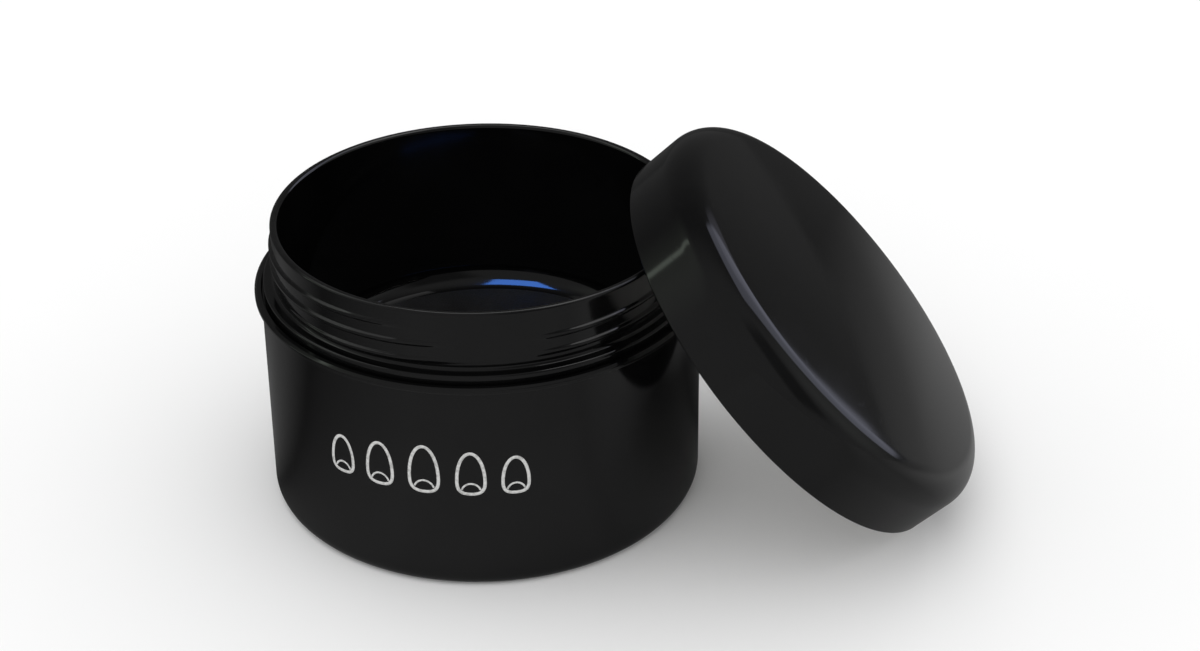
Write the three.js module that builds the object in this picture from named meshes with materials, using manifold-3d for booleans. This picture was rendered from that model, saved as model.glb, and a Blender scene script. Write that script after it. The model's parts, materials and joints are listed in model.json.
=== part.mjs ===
// A wide-mouth, double-wall salon jar with its screw lid taken off and leaned on it.
// Millimetres, +Z up. The jar stands on z = 0 with its axis on Z, and the lid leans on its +X side.
import * as THREE from "three";
import { mergeVertices } from "three/addons/utils/BufferGeometryUtils.js";
import Module from "manifold-3d";

const wasm = await Module();
wasm.setup();

// Driving dimensions of the jar.
const SHOULDER_R = 38; // lip of the outer shell, the widest circle of the jar
const JAR_H = 49.65; // table to the rim of the neck
const LEDGE_Z = 38.2; // top of the outer shell
const BODY_TOP_R = 36.9;
const BODY_BASE_R = 37.2;
const FOOT_ROUND = 2;
const SHELL_WALL = 1.5;
const SHELL_FLOOR = 1.8;
const SHELL_CORNER = 1.5; // chamfer inside, where the wall meets the floor
const SEAT_DEPTH = 0.75; // step inside the shell's mouth, for the inner cup's collar
const BEAD_H = 1.5; // bead round the shell's mouth
const SOFT = 0.4; // softened edges
const RING_INNER_R = 27; // ring groove under the jar
const RING_OUTER_R = 32.6;
const RING_DEPTH = 0.6;

// Driving dimensions of the inner cup and its threaded neck.
const NECK_R = 34.65; // root of the thread
const NECK_WALL = 1.3;
const CUP_WALL = 1.25;
const CUP_TOP_R = 34.55; // outside of the wall, under the collar
const COLLAR_R = 36.5; // collar that sits in the mouth of the outer shell
const COLLAR_TOP = 39.65;
const CUP_FLOOR_Z = 17.9;
const CUP_BASE_R = 33.1; // inside radius where the wall meets the floor's round
const CUP_ROUND = 4.7;

// Driving dimensions of the lid, in its own frame: rim on z = 0, dome up.
const RIM_R = 37.85;
const SKIRT_TOP_R = 37.9;
const SKIRT_H = 7.8;
const CROWN_ROUND = 5.2;
const DOME_RISE = 1.7;
const LID_WALL = 0.8;
const LID_TOP = 0.95;
const RIM_SOFT = 0.3;
const STEP_Z = 7.2; // top of the straight bore that holds the insert
const INSERT_ROOT_R = 35.65;
const INSERT_LIFT = 0.1; // the insert's rim sits this far inside the shell's
const INSERT_CORNER = 66; // degrees of the insert's round, which follows the shell's inside
const LINER_AIR = 0.1; // between the liner and the insert, all round it
const LINER_LIP = 0.3; // the insert holds the liner's edge from below this far
const LINER_R = 34.85;
const LINER_T = 0.7;
const LINER_Z = JAR_H - COLLAR_TOP; // underside of the liner, where the neck's rim seals

// The thread: two starts, right-handed. The ridge's flank towards the table is the longer one.
const LEAD = 5.6; // rise in one turn
const STARTS = 2;
const RIDGE_H = 0.75;
const RIDGE_BELOW = 0.75; // from the ridge's middle line to its foot, on each side
const RIDGE_ABOVE = 0.6;
const CREST_BELOW = 0.26; // and to the edges of its flat crest
const CREST_ABOVE = 0.15;
const RIDGE_SUNK = 0.4; // the ridge's foot starts this deep in the wall
const RUN_OUT = 0.08; // turns over which a ridge's height fades at each end
const SEGMENTS = 40; // of a ridge, in one turn
const NECK_THREAD = { below: 2.65, end: -95, turns: 1.15 }; // mm under the rim, degrees, turns
const LID_THREAD = { below: 2.25, end: 0, turns: 0.95 }; // mm under the liner, degrees, turns

// Where the lid leans: its tilt, and the air left between its rim and the neck.
const LEAN = THREE.MathUtils.degToRad(46.3);
const LEAN_AIR = 0.3;
const TABLE_AIR = 0.02;

const GAP = 0.3; // between pieces pressed together
const SIDES = 60; // facets round each turned piece

const glossBlack = () => new THREE.MeshStandardMaterial({ color: 0x0b0b0c, roughness: 0.18, metalness: 0 });
const satinBlack = () => new THREE.MeshStandardMaterial({ color: 0x121213, roughness: 0.4, metalness: 0 });
const linerWhite = () => new THREE.MeshStandardMaterial({ color: 0xe9e7e2, roughness: 0.85, metalness: 0 });

// Points on an arc of the profile plane, from one angle to another in degrees.
function arc(r, z, radius, from, to, steps = 4) {
  const points = [];
  for (let i = 0; i <= steps; i++) {
    const a = THREE.MathUtils.degToRad(from + ((to - from) * i) / steps);
    points.push([r + radius * Math.cos(a), z + radius * Math.sin(a)]);
  }
  return points;
}

// A turned solid about Z, from a profile of [radius, z] pairs that runs up the outside.
function turned(profile) {
  const points = profile.map(([r, z]) => new THREE.Vector2(Math.max(r, 0), z));
  if (profile[0][0] > 0) points.push(points[0].clone());
  return new THREE.LatheGeometry(points, SIDES).rotateX(Math.PI / 2);
}

// One helical ridge: a straight extrusion wound round Z, its height running out at both ends.
// outward is 1 for a ridge on a neck and -1 for one inside a lid.
function ridge(rootR, outward, endAngle, topZ, turns) {
  const section = new THREE.Shape();
  section.moveTo(-RIDGE_SUNK, -RIDGE_BELOW);
  section.lineTo(0, -RIDGE_BELOW);
  section.lineTo(RIDGE_H, -CREST_BELOW);
  section.lineTo(RIDGE_H, CREST_ABOVE);
  section.lineTo(0, RIDGE_ABOVE);
  section.lineTo(-RIDGE_SUNK, RIDGE_ABOVE);
  section.closePath();
  const steps = Math.round(turns * SEGMENTS);
  const bar = new THREE.ExtrudeGeometry(section, { depth: 1, steps, bevelEnabled: false });
  const at = bar.getAttribute("position");
  const runOut = RUN_OUT / turns;
  for (let i = 0; i < at.count; i++) {
    const [height, rise, along] = [at.getX(i), at.getY(i), at.getZ(i)];
    const fade = THREE.MathUtils.clamp(Math.min(along, 1 - along) / runOut, 0.1, 1);
    const r = rootR + outward * (height > 0 ? height * fade : height);
    const turn = along * turns;
    const a = endAngle - turn * 2 * Math.PI;
    at.setXYZ(i, r * Math.cos(a), r * Math.sin(a), topZ - LEAD * turn + rise * outward);
  }
  return bar;
}

// A geometry as a manifold-3d solid, its matching vertices merged, for joining.
function solid(geometry) {
  const bare = geometry.clone().deleteAttribute("normal").deleteAttribute("uv");
  const merged = mergeVertices(bare, 1e-4);
  return new wasm.Manifold(
    new wasm.Mesh({
      numProp: 3,
      vertProperties: new Float32Array(merged.getAttribute("position").array),
      triVerts: new Uint32Array(merged.getIndex().array),
    }),
  );
}

function geometryOf(made) {
  const mesh = made.getMesh();
  return new THREE.BufferGeometry()
    .setAttribute("position", new THREE.BufferAttribute(new Float32Array(mesh.vertProperties), 3))
    .setIndex(new THREE.BufferAttribute(new Uint32Array(mesh.triVerts), 1));
}

// The ridges of every start, joined onto a turned piece. sealZ is where neck and liner meet.
function threaded(body, rootR, outward, sealZ, thread) {
  const endAngle = THREE.MathUtils.degToRad(thread.end);
  let made = solid(body);
  for (let start = 0; start < STARTS; start++) {
    const a = endAngle + (start * 2 * Math.PI) / STARTS;
    made = made.add(solid(ridge(rootR, outward, a, sealZ - thread.below, thread.turns)));
  }
  return geometryOf(made);
}

function named(name, geometry, material) {
  const mesh = new THREE.Mesh(geometry, material);
  mesh.name = name;
  mesh.geometry.computeVertexNormals();
  return mesh;
}

// The outer shell: a cup with a lip round its mouth and a seat for the inner cup's collar.
function outerShell() {
  const innerTopR = BODY_TOP_R - SHELL_WALL;
  const innerBaseR = BODY_BASE_R - SHELL_WALL;
  const seatZ = LEDGE_Z - SEAT_DEPTH;
  return turned([
    [0, 0],
    [RING_INNER_R, 0],
    [RING_INNER_R + RING_DEPTH, RING_DEPTH],
    [RING_OUTER_R - RING_DEPTH, RING_DEPTH],
    [RING_OUTER_R, 0],
    ...arc(BODY_BASE_R - FOOT_ROUND, FOOT_ROUND, FOOT_ROUND, -90, 0, 3),
    [BODY_TOP_R, LEDGE_Z - BEAD_H],
    [SHOULDER_R - SOFT / 2, LEDGE_Z - BEAD_H + SOFT],
    [SHOULDER_R, LEDGE_Z - 2 * SOFT],
    [SHOULDER_R, LEDGE_Z - SOFT],
    [SHOULDER_R - SOFT, LEDGE_Z],
    [COLLAR_R + GAP, LEDGE_Z],
    [COLLAR_R + GAP, seatZ],
    [innerTopR, seatZ],
    [innerBaseR, SHELL_FLOOR + SHELL_CORNER],
    [innerBaseR - SHELL_CORNER, SHELL_FLOOR],
    [0, SHELL_FLOOR],
  ]);
}

// The inner cup: floor, wall, the collar that closes the gap to the shell, and the threaded neck.
function innerCup() {
  const lip = NECK_WALL / 2;
  const lipR = NECK_R - lip;
  const collarBase = LEDGE_Z - SEAT_DEPTH + GAP;
  const underZ = CUP_FLOOR_Z - CUP_WALL;
  const outBaseR = CUP_BASE_R + CUP_WALL;
  const outRound = CUP_ROUND + CUP_WALL;
  const body = turned([
    [0, underZ],
    ...arc(outBaseR - outRound, underZ + outRound, outRound, -90, 0, 4),
    [CUP_TOP_R, collarBase],
    [COLLAR_R, collarBase],
    [COLLAR_R, COLLAR_TOP - SOFT],
    [COLLAR_R - SOFT, COLLAR_TOP],
    [NECK_R + SOFT, COLLAR_TOP],
    [NECK_R, COLLAR_TOP + SOFT],
    ...arc(lipR, JAR_H - lip, lip, 0, 180, 4),
    ...arc(CUP_BASE_R - CUP_ROUND, CUP_FLOOR_Z + CUP_ROUND, CUP_ROUND, 0, -90, 5),
    [0, CUP_FLOOR_Z],
  ]);
  return threaded(body, NECK_R, 1, JAR_H, NECK_THREAD);
}

// Points up the lid's rounded crown and over its spherical dome, which are tangent where they meet.
// inset draws them inside the wall, parallel to the outside.
function lidTop(inset, crownSteps, domeSteps) {
  const crownR = SKIRT_TOP_R - CROWN_ROUND;
  const rise = CROWN_ROUND + DOME_RISE;
  const sphere = (crownR ** 2 + rise ** 2 - CROWN_ROUND ** 2) / (2 * DOME_RISE);
  const half = THREE.MathUtils.radToDeg(Math.asin(crownR / (sphere - CROWN_ROUND)));
  return [
    ...arc(crownR, SKIRT_H, CROWN_ROUND - inset, 0, 90 - half, crownSteps),
    ...arc(0, SKIRT_H + rise - sphere, sphere - inset, 90 - half, 90, domeSteps).slice(1),
  ];
}

// The lid's outer shell: a nearly straight skirt, a rounded crown and a shallow dome.
function capShell() {
  const bore = RIM_R - LID_WALL;
  return turned([
    [bore, 0],
    [RIM_R - RIM_SOFT, 0],
    [RIM_R, RIM_SOFT],
    ...lidTop(0, 6, 4),
    ...lidTop(LID_TOP, 4, 3).reverse(),
    [bore, STEP_Z],
  ]);
}

// The threaded insert that is pressed into the lid's shell, closed by the disc that backs the liner.
function capInsert() {
  const crownR = SKIRT_TOP_R - CROWN_ROUND;
  const outRound = CROWN_ROUND - LID_TOP - GAP;
  const round = arc(crownR, SKIRT_H, outRound, 0, INSERT_CORNER, 3);
  const topZ = round.at(-1)[1];
  const linerBore = LINER_R + LINER_AIR;
  const seatZ = LINER_Z + LINER_T + LINER_AIR;
  const lipZ = LINER_Z - LINER_LIP;
  const body = turned([
    [INSERT_ROOT_R, INSERT_LIFT],
    [crownR + outRound, INSERT_LIFT],
    ...round,
    [0, topZ],
    [0, seatZ],
    [linerBore, seatZ],
    [linerBore, lipZ],
    [INSERT_ROOT_R, lipZ - (INSERT_ROOT_R - linerBore)],
  ]);
  return threaded(body, INSERT_ROOT_R, -1, LINER_Z, LID_THREAD);
}

// The sealing disc that the neck's rim presses on.
function sealingLiner() {
  const edge = LINER_T / 4;
  return turned([
    [0, LINER_Z],
    [LINER_R - edge, LINER_Z],
    [LINER_R, LINER_Z + edge],
    [LINER_R, LINER_Z + LINER_T],
    [0, LINER_Z + LINER_T],
  ]);
}

// The lid rests on the table by its rim and on the neck's lip by the edge of its bore. Where the
// rim's plane crosses the height of the lip, both lip and bore are circles that meet in two points,
// which gives the distance from the jar's axis to the middle of the lid's rim.
function leanPlace() {
  const z = RIM_R * Math.sin(LEAN) + TABLE_AIR;
  const up = (JAR_H - z) / Math.sin(LEAN);
  const reach = INSERT_ROOT_R - LEAN_AIR;
  const halfChord = Math.sqrt(reach * reach - up * up);
  const x = Math.sqrt(NECK_R * NECK_R - halfChord * halfChord) + up * Math.cos(LEAN);
  return new THREE.Vector3(x, 0, z);
}

const jar = new THREE.Group();
jar.add(named("outer_shell", outerShell(), glossBlack()));
jar.add(named("inner_cup", innerCup(), glossBlack()));

const lid = new THREE.Group();
lid.add(named("cap_shell", capShell(), glossBlack()));
lid.add(named("cap_insert", capInsert(), satinBlack()));
lid.add(named("sealing_liner", sealingLiner(), linerWhite()));
lid.rotation.y = LEAN;
lid.position.copy(leanPlace());

const dish = new THREE.Group();
dish.add(jar, lid);

export default dish;
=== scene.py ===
import json
import math

import bpy
from mathutils import Matrix, Vector

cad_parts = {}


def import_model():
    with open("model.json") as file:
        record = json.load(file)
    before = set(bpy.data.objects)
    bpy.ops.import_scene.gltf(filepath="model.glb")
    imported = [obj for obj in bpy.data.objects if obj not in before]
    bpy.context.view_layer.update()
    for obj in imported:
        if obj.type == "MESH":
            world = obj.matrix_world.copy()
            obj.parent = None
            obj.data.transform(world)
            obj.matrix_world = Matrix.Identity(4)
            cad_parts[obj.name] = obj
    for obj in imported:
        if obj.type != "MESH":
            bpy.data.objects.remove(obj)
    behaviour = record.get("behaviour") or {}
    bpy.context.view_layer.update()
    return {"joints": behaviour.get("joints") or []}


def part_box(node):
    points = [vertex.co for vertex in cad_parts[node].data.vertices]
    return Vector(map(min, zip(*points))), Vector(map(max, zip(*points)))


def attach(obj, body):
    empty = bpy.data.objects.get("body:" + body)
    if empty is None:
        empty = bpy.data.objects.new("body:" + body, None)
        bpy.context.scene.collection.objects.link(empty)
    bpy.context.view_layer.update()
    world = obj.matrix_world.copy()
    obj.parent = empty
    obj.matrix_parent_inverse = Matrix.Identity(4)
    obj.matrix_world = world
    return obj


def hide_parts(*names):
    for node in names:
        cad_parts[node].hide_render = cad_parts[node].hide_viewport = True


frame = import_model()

# A wide-mouth, double-wall salon jar in gloss black plastic, with its screw lid leaning on it.
# Outlines are in millimetres in each piece's own frame, and become metres in the row frame.

MM = 0.001
FULL_TURN = 2 * math.pi


def top_corner(node):
    """The radius and the height of a turned node that stands on the jar's axis, in millimetres."""
    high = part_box(node)[1]
    return high.x / MM, high.z / MM


# The jar: its shell, and the cup that is pressed into it.
SHOULDER_R, LEDGE_Z = top_corner("outer_shell")
COLLAR_R, JAR_H = top_corner("inner_cup")
SHELL_WALL = 1.5
SHELL_BASE = 1.8
SEAT_DEPTH = 0.75
BODY_TOP_R = SHOULDER_R - 1.1
BODY_BASE_R = SHOULDER_R - 0.8
FOOT_ROUND = 2.0
COLLAR_TOP = LEDGE_Z + 1.45
NECK_R = COLLAR_R - 1.85
NECK_WALL = 1.3
CUP_WALL = 1.25
CUP_FLOOR_Z = 17.9
CUP_BASE_R = 33.1
CUP_ROUND = 4.7
TEXTURE_R = 29.8
GAP = 0.3

# The lid, from its rim up, and what is pressed into it.
RIM_R = 37.85
SKIRT_TOP_R = 37.9
SKIRT_H = 7.8
CROWN_ROUND = 5.2
DOME_RISE = 1.7
LID_WALL = 0.8
LID_TOP = 0.95
INSERT_ROOT_R = 35.65
LINER_R = 34.85
LINER_T = 0.7
LINER_Z = JAR_H - COLLAR_TOP

# The threads. Distances across a ridge are from its middle line to its crest's and its root's edges.
LEAD = 5.6
STARTS = 2
RIDGE_H = 0.45
CREST_ABOVE = 0.15
ROOT_ABOVE = 0.4
CREST_BELOW = 0.3
ROOT_BELOW = 0.7
FLANK_ROUND = 0.3
RUN_OUT_TURNS = 0.09
ROW = 0.06
NECK_THREAD_START = math.radians(-95)
NECK_THREAD_DROP = 2.65
NECK_TURNS = 1.15
LID_THREAD_DROP = 2.25
LID_TURNS = 0.95
MOULD_SEAM = math.radians(-79)
SEAM_HEIGHT = 0.07
SEAM_FADE = (10, 26)


# ---------------------------------------------------------------- outlines

def rounded(corners, steps=6):
    """An outline of (radius, height, fillet) corners as (radius, height) points, its fillets as arcs.
    A point just outside each arc keeps the flat beside it flat when the surface is smoothed."""
    points = []
    for i, (r, z, fillet) in enumerate(corners):
        here = Vector((r, z))
        if fillet <= 0 or i in (0, len(corners) - 1):
            points.append((r, z))
            continue
        back = Vector(corners[i - 1][:2]) - here
        ahead = Vector(corners[i + 1][:2]) - here
        room_back, room_ahead = back.length, ahead.length
        back.normalize()
        ahead.normalize()
        half = 0.5 * back.angle(ahead)
        reach = min(fillet / math.tan(half), 0.49 * min(room_back, room_ahead))
        radius = reach * math.tan(half)
        middle = here + (back + ahead).normalized() * (radius / math.sin(half))
        start, end = here + back * reach, here + ahead * reach
        a0 = math.atan2(*(start - middle).yx)
        turn = math.remainder(math.atan2(*(end - middle).yx) - a0, FULL_TURN)
        margin = 0.25 * radius
        if reach + margin < 0.5 * room_back:
            points.append(tuple(start + back * margin))
        for k in range(steps + 1):
            a = a0 + turn * k / steps
            points.append((middle.x + radius * math.cos(a), middle.y + radius * math.sin(a)))
        if reach + margin < 0.5 * room_ahead:
            points.append(tuple(end + ahead * margin))
    return points


def rows(radius, low, high, step=ROW):
    """Corners up or down a straight wall, close enough together to carry a thread."""
    count = max(1, round(abs(high - low) / step))
    return [(radius, low + (high - low) * k / count, 0) for k in range(count + 1)]


def arc(r, z, radius, start, end, steps):
    """Corners along an arc, between two angles in degrees."""
    angles = [math.radians(start + (end - start) * k / steps) for k in range(steps + 1)]
    return [(r + radius * math.cos(a), z + radius * math.sin(a), 0) for a in angles]


def lid_top(inset, crown_steps, dome_steps):
    """Corners up the lid's rounded crown and over its dome, the arc of one running into the other,
    all of it inset into the wall by a distance."""
    crown_r = SKIRT_TOP_R - CROWN_ROUND
    height = CROWN_ROUND + DOME_RISE
    sphere = (crown_r ** 2 + height ** 2 - CROWN_ROUND ** 2) / (2 * DOME_RISE)
    join = 90 - math.degrees(math.asin(crown_r / (sphere - CROWN_ROUND)))
    crown = arc(crown_r, SKIRT_H, CROWN_ROUND - inset, 0, join, crown_steps)
    over = arc(0, SKIRT_H + height - sphere, sphere - inset, join, 90, dome_steps)
    return crown + over[1:-1] + [(0, SKIRT_H + height - inset, 0)]


# ---------------------------------------------------------------- meshes

def smooth_step(low, high, x):
    t = min(max((x - low) / (high - low), 0.0), 1.0)
    return t * t * (3 - 2 * t)


def new_mesh(name, vertices, faces, to_row=Matrix.Identity(4)):
    """A smooth mesh object, from millimetres in the piece's own frame."""
    mesh = bpy.data.meshes.new(name)
    mesh.from_pydata([to_row @ (Vector(v) * MM) for v in vertices], [], faces)
    mesh.shade_smooth()
    piece = bpy.data.objects.new(name, mesh)
    bpy.context.scene.collection.objects.link(piece)
    return piece


def revolve(name, outline, sides, to_row=Matrix.Identity(4), lift=None, worn=None):
    """A turned solid. lift(angle, r, z) raises a thread's ridges, and worn(r, z) is 0 to 1 where
    hands and the other half's thread rub the surface."""
    closed = outline[0][0] > 0
    vertices, rings = [], []
    for r, z in outline:
        if r <= 1e-6:
            rings.append([len(vertices)])
            vertices.append((0, 0, z))
            continue
        ring = []
        for k in range(sides):
            a = FULL_TURN * k / sides
            out = r + (lift(a, r, z) if lift else 0)
            ring.append(len(vertices))
            vertices.append((out * math.cos(a), out * math.sin(a), z))
        rings.append(ring)
    faces = []
    for low, high in zip(rings, rings[1:] + (rings[:1] if closed else [])):
        if len(low) == 1 and len(high) == 1:
            continue
        for k in range(sides):
            n = (k + 1) % sides
            if len(low) == 1:
                faces.append((low[0], high[n], high[k]))
            elif len(high) == 1:
                faces.append((low[k], low[n], high[0]))
            else:
                faces.append((low[k], low[n], high[n], high[k]))
    piece = new_mesh(name, vertices, faces, to_row)
    if worn:
        layer = piece.data.attributes.new("wear", "FLOAT", "POINT")
        values = [worn(math.hypot(x, y), z) for x, y, z in vertices]
        layer.data.foreach_set("value", values)
    return piece


def flank(crest, root, off):
    """A ridge's height at a distance from its middle line: 1 on its flat crest, and down a straight
    flank to 0 at its root, with small rounds at both ends of the flank."""
    t = (root - off) / (root - crest)
    soft = FLANK_ROUND
    if t >= 1 + soft:
        return 1.0
    if t > 1 - soft:
        return 1 - (1 + soft - t) ** 2 / (4 * soft)
    if t > soft:
        return t
    return (t + soft) ** 2 / (4 * soft) if t > -soft else 0.0


def thread(outward, root, end_angle, top_z, turns):
    """The lift of a thread wound on a wall, outward 1 or -1: flat crests that run out at both ends,
    with the steeper flank towards the mouth. The ridges sink where the two halves of the mould meet,
    front and back."""
    def lift(a, r, z):
        if abs(r - root) > 0.02:
            return 0.0
        best = 0.0
        from_seam = abs(math.degrees(math.remainder(a - MOULD_SEAM, math.pi)))
        tall = SEAM_HEIGHT + (1 - SEAM_HEIGHT) * smooth_step(*SEAM_FADE, from_seam)
        for start in range(STARTS):
            t = ((end_angle + FULL_TURN * start / STARTS - a) / FULL_TURN) % 1.0
            while t <= turns:
                up = (z - (top_z - LEAD * t)) * outward
                crest, foot = (CREST_ABOVE, ROOT_ABOVE) if up > 0 else (CREST_BELOW, ROOT_BELOW)
                if abs(up) < foot + 0.1:
                    end = smooth_step(0, RUN_OUT_TURNS, min(t, turns - t))
                    best = max(best, end * flank(crest, foot, abs(up)))
                t += 1.0
        return outward * RIDGE_H * tall * best
    return lift


# ---------------------------------------------------------------- materials

class Tree:
    """Short calls for adding nodes to self.tree."""

    def new(self, kind, **settings):
        node = self.tree.nodes.new("ShaderNode" + kind)
        for name, value in settings.items():
            setattr(node, name, value)
        return node

    def link(self, a, b):
        self.tree.links.new(a, b)

    def math(self, operation, *values):
        node = self.new("Math", operation=operation)
        for socket, value in zip(node.inputs, values):
            if isinstance(value, (int, float)):
                socket.default_value = value
            else:
                self.link(value, socket)
        return node.outputs[0]

    def span(self, value, low, high, out_low, out_high, ease="LINEAR"):
        """value carried from one range to another, and held at both ends."""
        node = self.new("MapRange", interpolation_type=ease)
        ends = {"From Min": low, "From Max": high, "To Min": out_low, "To Max": out_high}
        for socket, number in ends.items():
            node.inputs[socket].default_value = number
        self.link(value, node.inputs["Value"])
        return node.outputs["Result"]

    def dot(self, vector, axis):
        node = self.new("VectorMath", operation="DOT_PRODUCT")
        self.link(vector, node.inputs[0])
        node.inputs[1].default_value = axis
        return node.outputs["Value"]


class Nodes(Tree):
    """A material's nodes, whose patterns stay fixed to the piece."""

    def __init__(self, name):
        self.material = bpy.data.materials.new(name)
        self.material.use_nodes = True
        self.tree = self.material.node_tree
        self.shader = self.tree.nodes["Principled BSDF"]
        self.coords = self.new("TexCoord").outputs["Object"]

    def mapped(self, scale):
        node = self.new("Mapping")
        node.inputs["Scale"].default_value = scale
        self.link(self.coords, node.inputs["Vector"])
        return node.outputs["Vector"]

    def noise(self, scale, detail=4.0, rough=0.5, vector=None, distortion=0.0):
        node = self.new("TexNoise")
        node.inputs["Scale"].default_value = scale
        node.inputs["Detail"].default_value = detail
        node.inputs["Roughness"].default_value = rough
        node.inputs["Distortion"].default_value = distortion
        self.link(vector or self.coords, node.inputs["Vector"])
        return node.outputs["Fac"]

    def cells(self, scale):
        node = self.new("TexVoronoi")
        node.inputs["Scale"].default_value = scale
        self.link(self.coords, node.inputs["Vector"])
        return node.outputs["Distance"]

    def colours(self, factor, dark, light):
        node = self.new("Mix", data_type="RGBA")
        node.inputs["A"].default_value = (*dark, 1)
        node.inputs["B"].default_value = (*light, 1)
        self.link(factor, node.inputs["Factor"])
        return node.outputs["Result"]

    def attribute(self, name):
        return self.new("Attribute", attribute_name=name).outputs["Fac"]

    def surface(self, colour, roughness):
        self.link(colour, self.shader.inputs["Base Color"])
        self.link(roughness, self.shader.inputs["Roughness"])

    def bump(self, *layers):
        """layers are (height, distance in metres, strength), laid one on the other."""
        normal = None
        for height, distance, strength in layers:
            node = self.new("Bump")
            node.inputs["Distance"].default_value = distance
            node.inputs["Strength"].default_value = strength
            self.link(height, node.inputs["Height"])
            if normal:
                self.link(normal, node.inputs["Normal"])
            normal = node.outputs["Normal"]
        self.link(normal, self.shader.inputs["Normal"])


def gloss_black(name, rough, orange_peel=0.05, worn=False):
    """Moulded gloss plastic: two near-blacks, faint clouds of handling, hairlines and orange peel."""
    n = Nodes(name)
    dark, light = (0.0010, 0.0010, 0.0011), (0.0024, 0.0024, 0.0025)
    clouds = n.noise(45, detail=5)
    hair = n.noise(260, detail=2, vector=n.mapped((1, 1, 9)), distortion=0.6)
    hairline = n.span(hair, 0.66, 0.72, 0, 1)
    peel = n.noise(420, detail=1)
    grain = n.noise(1400, detail=2)
    tone = n.span(clouds, 0.3, 0.7, 0, 1)
    matt = n.span(clouds, 0.35, 0.75, rough - 0.02, rough + 0.05)
    matt = n.math("ADD", matt, n.math("MULTIPLY", hairline, 0.05))
    if worn:
        patchy = n.span(n.noise(700, detail=3), 0.35, 0.65, 0.25, 1)
        rub = n.math("MULTIPLY", n.attribute("wear"), patchy)
        tone = n.math("MAXIMUM", tone, rub)
        matt = n.math("ADD", matt, n.math("MULTIPLY", rub, 0.12))
    n.surface(n.colours(tone, dark, light), matt)
    n.shader.inputs["IOR"].default_value = 1.49
    n.bump((peel, 0.00002, orange_peel), (grain, 0.000004, 0.15), (hairline, 0.000003, 0.2))
    return n.material


def textured_black():
    """The spark-eroded middle of the floor: fine sparkle grain over a soft mottle."""
    n = Nodes("floor_texture_black")
    grit = n.cells(2600)
    mottle = n.noise(160, detail=5)
    fine = n.noise(3400, detail=3, rough=0.7)
    tone = n.math("MULTIPLY", n.span(grit, 0.1, 0.6, 0.2, 1), n.span(mottle, 0.3, 0.7, 0.4, 1))
    n.surface(n.colours(tone, (0.004, 0.004, 0.0042), (0.021, 0.021, 0.0215)),
              n.span(mottle, 0.3, 0.7, 0.42, 0.6))
    n.bump((grit, 0.00012, 0.5), (fine, 0.00006, 0.5))
    return n.material


def satin_black():
    """The insert of the lid, moulded with less polish than what shows."""
    n = Nodes("insert_satin_black")
    clouds = n.noise(90, detail=4)
    grain = n.noise(2200, detail=3)
    n.surface(n.colours(clouds, (0.005, 0.005, 0.0053), (0.012, 0.012, 0.0125)),
              n.span(clouds, 0.3, 0.7, 0.28, 0.42))
    n.bump((grain, 0.00002, 0.3))
    return n.material


def foam_white():
    """Closed-cell foam with a smooth skin, marked in a faint ring by the neck it seals."""
    n = Nodes("liner_foam")
    pores = n.cells(1500)
    blotch = n.noise(70, detail=5)
    ring = n.attribute("wear")
    shade = n.math("MULTIPLY", n.span(blotch, 0.3, 0.7, 0.55, 1), n.span(ring, 0, 1, 1, 0.45))
    n.surface(n.colours(shade, (0.5, 0.49, 0.46), (0.82, 0.81, 0.78)),
              n.span(pores, 0, 0.6, 0.6, 0.85))
    n.bump((pores, 0.00006, 0.35), (ring, 0.0001, 0.4))
    return n.material


def grey_ink():
    """Screen-printed grey ink, with faint thin spots where the black shows through."""
    n = Nodes("print_grey_ink")
    thin = n.noise(1800, detail=3)
    cover = n.span(thin, 0.35, 0.55, 0, 1)
    n.surface(n.colours(cover, (0.42, 0.42, 0.41), (0.60, 0.60, 0.59)),
              n.span(thin, 0.3, 0.7, 0.35, 0.5))
    n.bump((thin, 0.00001, 0.3))
    return n.material


# ---------------------------------------------------------------- pieces

def finish_piece(piece, material, body, slot, *nodes):
    """Give a piece its material and the body it rides on, and hide the CAD nodes it replaces; slot is not
    used.
    """
    piece.data.materials.append(material)
    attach(piece, body)
    if nodes:
        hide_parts(*nodes)


def body_radius(z):
    """The outside of the shell's wall at a height."""
    return BODY_BASE_R + (BODY_TOP_R - BODY_BASE_R) * z / LEDGE_Z


def jar_shell():
    seat_z = LEDGE_Z - SEAT_DEPTH
    groove_in, groove_out, groove_depth, edge = 27, 32.6, 0.6, 0.25
    outline = rounded([
        (0, 0, 0), (3, 0, 0),
        (groove_in, 0, edge), (groove_in + groove_depth, groove_depth, edge),
        (groove_out - groove_depth, groove_depth, edge), (groove_out, 0, edge),
        (BODY_BASE_R, 0, FOOT_ROUND),
        (BODY_TOP_R, LEDGE_Z - 1.45, 0.3),
        (SHOULDER_R, LEDGE_Z - 1.0, 0.3),
        (SHOULDER_R, LEDGE_Z - 0.35, 0.2),
        (SHOULDER_R - 0.45, LEDGE_Z, 0.12),
        (COLLAR_R + GAP, LEDGE_Z, 0.15),
        (COLLAR_R + GAP, seat_z, 0.1),
        (BODY_TOP_R - SHELL_WALL, seat_z, 0.15),
        (BODY_BASE_R - SHELL_WALL, SHELL_BASE, 1.4),
        (0, SHELL_BASE, 0),
    ])

    def worn(r, z):
        foot = smooth_step(0.4, 0, z) * smooth_step(32, 33, r)
        bead = smooth_step(SHOULDER_R - 0.25, SHOULDER_R, r)
        return foot + 0.6 * bead
    return revolve("jar_shell", outline, 288, worn=worn)


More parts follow.
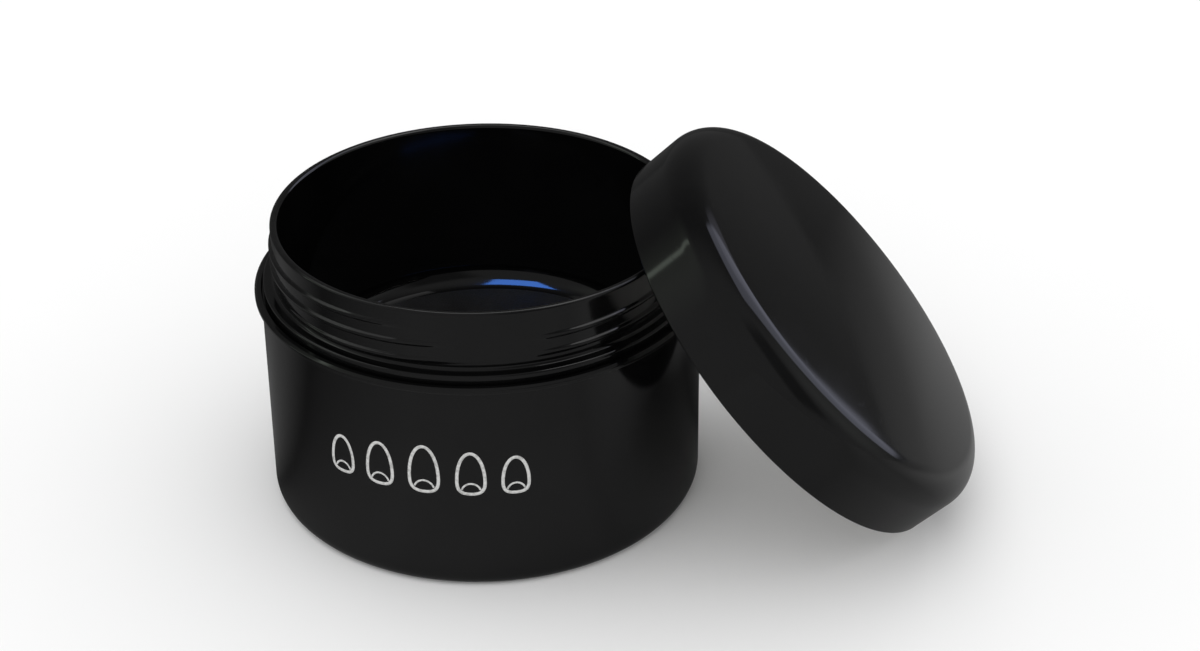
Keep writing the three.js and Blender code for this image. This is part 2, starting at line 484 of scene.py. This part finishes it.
def jar_cup():
    under = CUP_FLOOR_Z - CUP_WALL
    collar_base = LEDGE_Z - SEAT_DEPTH + GAP
    lip_round = 0.6
    root_round = 0.6
    root_z = COLLAR_TOP + root_round
    outline = rounded([
        (0, under, 0),
        (CUP_BASE_R + CUP_WALL, under, CUP_ROUND + CUP_WALL),
        (NECK_R - 0.1, collar_base, 0.1),
        (COLLAR_R, collar_base, 0.2),
        (COLLAR_R, COLLAR_TOP, 0.4),
        *arc(NECK_R + root_round, root_z, root_round, 270, 180, 10),
        *rows(NECK_R, root_z + ROW, JAR_H - 1.0),
        (NECK_R, JAR_H, lip_round),
        (NECK_R - NECK_WALL, JAR_H, lip_round),
        (CUP_BASE_R, CUP_FLOOR_Z, CUP_ROUND),
        (0, CUP_FLOOR_Z, 0),
    ], steps=10)
    ridges = thread(1, NECK_R, NECK_THREAD_START, JAR_H - NECK_THREAD_DROP, NECK_TURNS)

    def lift(a, r, z):
        return ridges(a, r, z) * smooth_step(root_z, root_z + 0.5, z)

    def worn(r, z):
        crest = smooth_step(NECK_R + 0.7 * RIDGE_H, NECK_R + RIDGE_H, r) if z > root_z else 0
        lip = smooth_step(JAR_H - 0.25, JAR_H, z)
        return max(crest, 0.7 * lip)
    return revolve("jar_cup", outline, 288, lift=lift, worn=worn)


def bowl_skin(name, inner_r, outer_r):
    """A thin skin on the inside of the cup, from one radius to another over the flat and the round."""
    middle_r, middle_z = CUP_BASE_R - CUP_ROUND, CUP_FLOOR_Z + CUP_ROUND
    run = 0.5 * math.pi * CUP_ROUND
    count, inside, outside = 36, 0.01, 0.05

    def along(r):
        """The distance from the axis along the floor and up the round, at a radius."""
        if r <= middle_r:
            return r
        return middle_r + CUP_ROUND * math.asin(min((r - middle_r) / CUP_ROUND, 1))

    def surface(s, lift):
        if s <= middle_r:
            return (s, CUP_FLOOR_Z + lift, 0)
        a = min(s - middle_r, run) / CUP_ROUND
        radius = CUP_ROUND - lift
        return (middle_r + radius * math.sin(a), middle_z - radius * math.cos(a), 0)

    first, last = along(inner_r), along(outer_r)
    places = [first + (last - first) * (k / count) for k in range(count + 1)]
    bottom = [surface(s, inside) for s in places]
    top = [surface(s, outside) for s in reversed(places)]
    skin = revolve(name, rounded(bottom + top), 240)
    skin.data.set_sharp_from_angle(angle=math.radians(40))
    return skin


def lid_frame():
    """The lid's own frame in the row frame, in metres: origin at its rim, Z out through its dome."""
    turn = next(j for j in frame["joints"] if j["name"] == "lid_turn")
    z = Vector(turn["axis"]).normalized()
    y = Vector((0, 1, 0))
    x = y.cross(z)
    place = Matrix((x, y, z)).transposed().to_4x4()
    place.translation = Vector(turn["pos_m"])
    return place


def lid_shell(place):
    bore = RIM_R - LID_WALL
    outline = rounded([
        (bore, 0, 0), (bore + 0.05, 0, 0), (RIM_R, 0, 0.3),
        (RIM_R - 0.01, 1.0, 0), (SKIRT_TOP_R, SKIRT_H - 0.5, 0),
        *lid_top(0, 20, 14),
        *reversed(lid_top(LID_TOP, 8, 8)),
        (bore, SKIRT_H - 1, 0),
    ])

    def worn(r, z):
        return 0.8 * smooth_step(0.35, 0, z)
    return revolve("lid_shell", outline, 288, place, worn=worn)


def lid_insert(place):
    crown_r = SKIRT_TOP_R - CROWN_ROUND
    out = CROWN_ROUND - LID_TOP - GAP
    rim_z, pocket_r, seat_z, top_angle = 0.1, LINER_R + 0.1, LINER_Z + LINER_T + 0.1, 66
    outline = rounded([
        (INSERT_ROOT_R, rim_z, 0.15), (crown_r + out, rim_z, 0.15),
        *arc(crown_r, SKIRT_H, out, 0, top_angle, 6),
        (0, SKIRT_H + out * math.sin(math.radians(top_angle)), 0),
        (0, seat_z, 0), (pocket_r, seat_z, 0.1), (pocket_r, LINER_Z - 0.3, 0.1),
        (INSERT_ROOT_R, LINER_Z - 1, 0),
        *rows(INSERT_ROOT_R, LINER_Z - 1.05, 0.4),
    ])
    lift = thread(-1, INSERT_ROOT_R, 0, LINER_Z - LID_THREAD_DROP, LID_TURNS)
    return revolve("lid_insert", outline, 240, place, lift=lift)


def lid_liner(place):
    """The foam disc, with a shallow ring pressed into it by the neck's lip."""
    ring_in, ring_out, ring_depth, back = 32.6, 34.6, 0.12, LINER_Z + LINER_T - 0.05
    outline = rounded([
        *[(r, LINER_Z, 0) for r in (0, 8, 16, 24, 32, ring_in)],
        (ring_in + 0.7, LINER_Z + ring_depth, 0.4),
        (ring_out - 0.2, LINER_Z + ring_depth, 0.4),
        (ring_out, LINER_Z, 0.05),
        (LINER_R, LINER_Z, 0.15), (LINER_R, back, 0.1), (0, back, 0),
    ])

    def mark(r, z):
        return smooth_step(ring_in, ring_in + 0.7, r) * smooth_step(ring_out + 0.1, ring_out - 0.3, r)
    return revolve("lid_liner", outline, 192, place, worn=mark)


def ribbon(path, half, closed):
    """A printed line on the shell: vertices and faces of a thin strip along a path.
    Path points are (millimetres round the wall from the middle of the print, height)."""
    middle, proud, sunk = math.radians(-96.5), 0.035, 0.01
    vertices, faces = [], []
    count = len(path)
    for i, (u, v) in enumerate(path):
        before = path[i - 1] if closed or i else path[i]
        after = path[(i + 1) % count] if closed or i < count - 1 else path[i]
        along = Vector((after[0] - before[0], after[1] - before[1])).normalized()
        side = Vector((-along.y, along.x)) * half
        for sign in (-1, 1):
            for height in (-sunk, proud):
                x, z = u + sign * side.x, v + sign * side.y
                r = body_radius(z) + height
                a = middle + x / BODY_BASE_R
                vertices.append((r * math.cos(a), r * math.sin(a), z))
    for i in range(count if closed else count - 1):
        a, b = 4 * i, 4 * ((i + 1) % count)
        for p, q in ((0, 1), (1, 3), (3, 2), (2, 0)):
            faces.append((a + p, a + q, b + q, b + p))
    if not closed:
        last = 4 * (count - 1)
        faces += [(0, 2, 3, 1), (last, last + 1, last + 3, last + 2)]
    return vertices, faces


def bezier(a, b, c, d, steps):
    """Points along a cubic curve."""
    points = []
    for k in range(steps + 1):
        t = k / steps
        weights = ((1 - t) ** 3, 3 * t * (1 - t) ** 2, 3 * t * t * (1 - t), t ** 3)
        points.append(tuple(sum(w * p[i] for w, p in zip(weights, (a, b, c, d))) for i in (0, 1)))
    return points


def nail_outline(width, height):
    """A fingernail's closed outline, from the middle of its base."""
    half, widest = 0.5 * width, 0.3 * height
    base = bezier((0, 0), (0.32 * width, 0), (half, 0.05 * height), (half, widest), 14)
    tip = bezier((half, widest), (half, 0.72 * height), (0.27 * width, height), (0, height), 18)
    right = base[:-1] + tip
    return right + [(-u, v) for u, v in reversed(right[1:-1])]


def half_moon(width, height, steps=16):
    """The pale arc at a fingernail's base."""
    points = []
    for k in range(steps + 1):
        a = math.radians(160 - 140 * k / steps)
        points.append((0.36 * width * math.cos(a), 0.02 * height + 0.40 * width * math.sin(a)))
    return points


def front_print():
    """A plain row of five fingernail outlines, each with its half-moon, where a maker would print."""
    nails = ((-14.8, 4.2, 6.6), (-7.6, 4.5, 7.6), (0.0, 4.8, 8.4), (7.6, 4.5, 7.6), (14.8, 4.2, 6.6))
    base_z, line, thin_line = 18.2, 0.27, 0.16
    vertices, faces = [], []
    for x, width, height in nails:
        for shape, half, closed in ((nail_outline, line, True), (half_moon, thin_line, False)):
            path = [(x + u, base_z + v) for u, v in shape(width, height)]
            new_vertices, new_faces = ribbon(path, half, closed)
            first = len(vertices)
            vertices.extend(new_vertices)
            faces.extend(tuple(first + k for k in face) for face in new_faces)
    return new_mesh("front_print", vertices, faces)


# ---------------------------------------------------------------- stage

def floor():
    """A near-white floor for the eye and diffuse light. What the gloss reflects of it is a painted grey
    table: painted light in front, far on the right and at both sides of the view, painted dark under the
    lid, and darker still where the object really shades it."""
    half = 6.0
    mesh = bpy.data.meshes.new("floor")
    corners = [(-half, -half, 0), (half, -half, 0), (half, half, 0), (-half, half, 0)]
    mesh.from_pydata(corners, [], [(0, 1, 2, 3)])
    table = bpy.data.objects.new("floor", mesh)
    bpy.context.scene.collection.objects.link(table)
    n = Nodes("pale_floor")
    away = n.new("VectorMath", operation="NORMALIZE")
    n.link(n.coords, away.inputs[0])
    reach = n.new("VectorMath", operation="LENGTH")
    n.link(n.coords, reach.inputs[0])

    def towards(x, y, low, high, amount):
        """0 to amount as the floor's direction from the jar's axis nears (x, y)."""
        return n.span(n.dot(away.outputs["Vector"], (x, y, 0)), low, high, 0, amount)

    def distance(low, high, out_low, out_high):
        return n.span(reach.outputs["Value"], low, high, out_low, out_high)

    # Painted light in front of the jar, made 1.5 times as light close to it to paint over the jar's own
    # shade there.
    front = n.math("MULTIPLY", towards(0.17, -0.985, 0.15, 0.85, 0.205), distance(0.045, 0.085, 1.5, 1))
    # Painted light far on the right, painted dark under the leaning lid: nothing within 70 mm of the jar's
    # axis, full by 100 mm, and dimming again from 120 mm out.
    right = n.math("MULTIPLY", towards(0.91, 0.42, 0.80, 0.97, 0.22), distance(0.070, 0.100, 0, 1))
    right = n.math("MULTIPLY", right, distance(0.12, 0.35, 1.25, 0.7))
    # Painted light at both sides of the view, over a grey base.
    sides = n.math("ADD", towards(-0.985, 0.17, 0.90, 0.99, 0.09), towards(0.985, -0.17, 0.86, 0.98, 0.14))
    grey = n.math("ADD", n.math("ADD", front, right), n.math("ADD", sides, 0.055))
    # Glossy rays see the painted grey; the eye and diffuse light see the near-white floor.
    pale_and_painted_reflection = n.new("Mix", data_type="RGBA")
    n.link(n.new("LightPath").outputs["Is Glossy Ray"], pale_and_painted_reflection.inputs["Factor"])
    n.link(n.colours(n.noise(8), (0.90, 0.90, 0.90), (0.93, 0.93, 0.93)), pale_and_painted_reflection.inputs["A"])
    n.link(grey, pale_and_painted_reflection.inputs["B"])
    n.link(pale_and_painted_reflection.outputs["Result"], n.shader.inputs["Base Color"])
    n.shader.inputs["Roughness"].default_value = 0.95
    n.shader.inputs["Specular IOR Level"].default_value = 0.0
    mesh.materials.append(n.material)


class Sky(Tree):
    """The surroundings as a sum of soft patches of light, each at a direction in degrees."""

    def __init__(self):
        self.world = bpy.data.worlds.new("studio")
        self.world.use_nodes = True
        self.tree = self.world.node_tree
        self.tree.nodes.clear()
        self.direction = self.new("TexCoord").outputs["Generated"]

    def step(self, value, low, high, out_low=0.0, out_high=1.0):
        return self.span(value, low, high, out_low, out_high, ease="SMOOTHSTEP")

    def patch(self, azimuth, elevation, half_width, half_height, soft):
        """1 inside a rectangle of directions and 0 outside, over an edge of soft degrees."""
        a, e = math.radians(azimuth), math.radians(elevation)
        ahead = (math.cos(e) * math.cos(a), math.cos(e) * math.sin(a), math.sin(e))
        side = (-math.sin(a), math.cos(a), 0)
        up = (-math.sin(e) * math.cos(a), -math.sin(e) * math.sin(a), math.cos(e))
        depth = self.dot(self.direction, ahead)
        inside = self.step(depth, 0.02, 0.06)
        depth = self.math("MAXIMUM", depth, 0.02)
        for axis, half in ((side, half_width), (up, half_height)):
            off = self.math("ABSOLUTE", self.math("DIVIDE", self.dot(self.direction, axis), depth))
            near, far = (math.tan(math.radians(half + sign * 0.5 * soft)) for sign in (-1, 1))
            inside = self.math("MULTIPLY", inside, self.step(off, near, far, 1, 0))
        return inside

    def add(self, total, factor, colour):
        """total plus factor times a colour."""
        node = self.new("VectorMath", operation="MULTIPLY_ADD")
        self.link(factor, node.inputs[0])
        node.inputs[1].default_value = colour
        self.link(total, node.inputs[2])
        return node.outputs["Vector"]


def world():
    """White all round for the eye and the floor. What the gloss reflects is a grey room: dim behind
    and paler in front, with a dark place to the right of the camera, a soft glow and a bright card
    on the right, and a soft glow with a thin strip in it on the left."""
    sky = Sky()
    front = sky.dot(sky.direction, (0.17, -0.985, 0))
    grey = sky.step(front, -0.35, 0.25, 0.10, 0.27)
    shade = sky.math("MULTIPLY_ADD", sky.patch(-50, 36, 17, 22, 14), -0.6, 1.0)
    total = sky.math("MULTIPLY", grey, shade)
    for patch, colour in (
        (sky.patch(5, 22, 20, 18, 20), (0.12, 0.13, 0.12)),
        (sky.patch(48, 29, 8, 13, 4), (0.28, 0.28, 0.34)),
        (sky.patch(36, 30, 14, 28, 2), (0.85, 0.88, 1.10)),
        (sky.patch(-176, 26, 14, 26, 24), (0.15, 0.17, 0.14)),
        (sky.patch(177, 28, 1.4, 22, 1.6), (1.0, 1.15, 0.98)),
    ):
        total = sky.add(total, patch, colour)

    white, room = sky.new("Background"), sky.new("Background")
    white.inputs["Color"].default_value = (1, 1, 1, 1)
    white.inputs["Strength"].default_value = 1.12
    sky.link(total, room.inputs["Color"])
    mix, out = sky.new("MixShader"), sky.new("OutputWorld")
    sky.link(sky.new("LightPath").outputs["Is Glossy Ray"], mix.inputs["Fac"])
    sky.link(white.outputs[0], mix.inputs[1])
    sky.link(room.outputs[0], mix.inputs[2])
    sky.link(mix.outputs[0], out.inputs["Surface"])
    bpy.context.scene.world = sky.world


def lamp(name, place, aim, size, bright, colour, piece):
    """A pane of light of a brightness, which only the gloss of one piece shows."""
    data = bpy.data.lights.new(name, "AREA")
    data.shape = "RECTANGLE"
    data.size, data.size_y = size
    data.energy = bright * math.pi * size[0] * size[1]
    data.color = colour
    light = bpy.data.objects.new(name, data)
    bpy.context.scene.collection.objects.link(light)
    light.location = place
    light.rotation_euler = (Vector(place) - Vector(aim)).to_track_quat("Z", "Y").to_euler()
    light.visible_camera = False
    light.visible_diffuse = False
    only = bpy.data.collections.new("shows_" + name)
    only.objects.link(piece)
    light.light_linking.receiver_collection = only


def window(piece):
    """The blue window above the jar, whose reflection lies in the round of its floor."""
    x, y, height = -0.0775, -0.045, 0.42
    lamp("blue_window", (x, y, height), (x, y, 0), (0.135, 0.19), 11.5, (0.08, 0.275, 1.0), piece)


def soft_box(name, azimuth, elevation, half_width, half_height, bright, piece):
    """A studio panel at a direction in degrees from the jar's mouth, for the edges of one piece."""
    a, e, reach = math.radians(azimuth), math.radians(elevation), 0.6
    mouth = Vector((0, 0, JAR_H * MM))
    ahead = Vector((math.cos(e) * math.cos(a), math.cos(e) * math.sin(a), math.sin(e)))
    size = [2 * reach * math.tan(math.radians(half)) for half in (half_width, half_height)]
    lamp(name, mouth + ahead * reach, mouth, size, bright, (1, 1, 1), piece)


def camera():
    """Azimuth from the front towards +X, elevation and distance from the foot of the jar's axis."""
    azimuth, elevation, distance = math.radians(9.6), math.radians(33.675), 0.38546
    aim, roll = Vector((0.02005, 0, 0.02871)), math.radians(0.19)
    data = bpy.data.cameras.new("camera")
    data.lens, data.sensor_width, data.clip_start = 64.93, 36, 0.01
    view = bpy.data.objects.new("camera", data)
    bpy.context.scene.collection.objects.link(view)
    side, height = distance * math.cos(elevation), distance * math.sin(elevation)
    view.location = (side * math.sin(azimuth), -side * math.cos(azimuth), height)
    look = (aim - view.location).to_track_quat("-Z", "Y").to_matrix()
    view.rotation_euler = (look @ Matrix.Rotation(-roll, 3, "Z")).to_euler()
    bpy.context.scene.camera = view


place = lid_frame()
finish_piece(jar_shell(), gloss_black("shell_gloss_black", rough=0.08, worn=True),
             "jar", "shell_black", "outer_shell")
cup = jar_cup()
finish_piece(cup, gloss_black("cup_gloss_black", rough=0.09, worn=True),
             "jar", "cup_black", "inner_cup")
finish_piece(bowl_skin("cup_floor_texture", 0, TEXTURE_R), textured_black(), "jar", "cup_black")
bowl_round = bowl_skin("cup_floor_round", TEXTURE_R, CUP_BASE_R)
finish_piece(bowl_round, gloss_black("round_gloss_black", rough=0.05, orange_peel=0.0),
             "jar", "cup_black")
finish_piece(front_print(), grey_ink(), "jar", "shell_black")
finish_piece(lid_shell(place), gloss_black("lid_gloss_black", rough=0.09, worn=True),
             "lid", "lid_black", "cap_shell")
finish_piece(lid_insert(place), satin_black(), "lid", "insert_black", "cap_insert")
finish_piece(lid_liner(place), foam_white(), "liner", "liner_white", "sealing_liner")

floor()
world()
window(bowl_round)
soft_box("back_panel", 88, 66, 18, 15, 1.4, cup)
soft_box("left_panel", 165, 52, 16, 14, 0.6, cup)
soft_box("right_panel", 18, 66, 14, 10, 1.2, cup)
camera()
bpy.context.scene.view_settings.view_transform = "Standard"
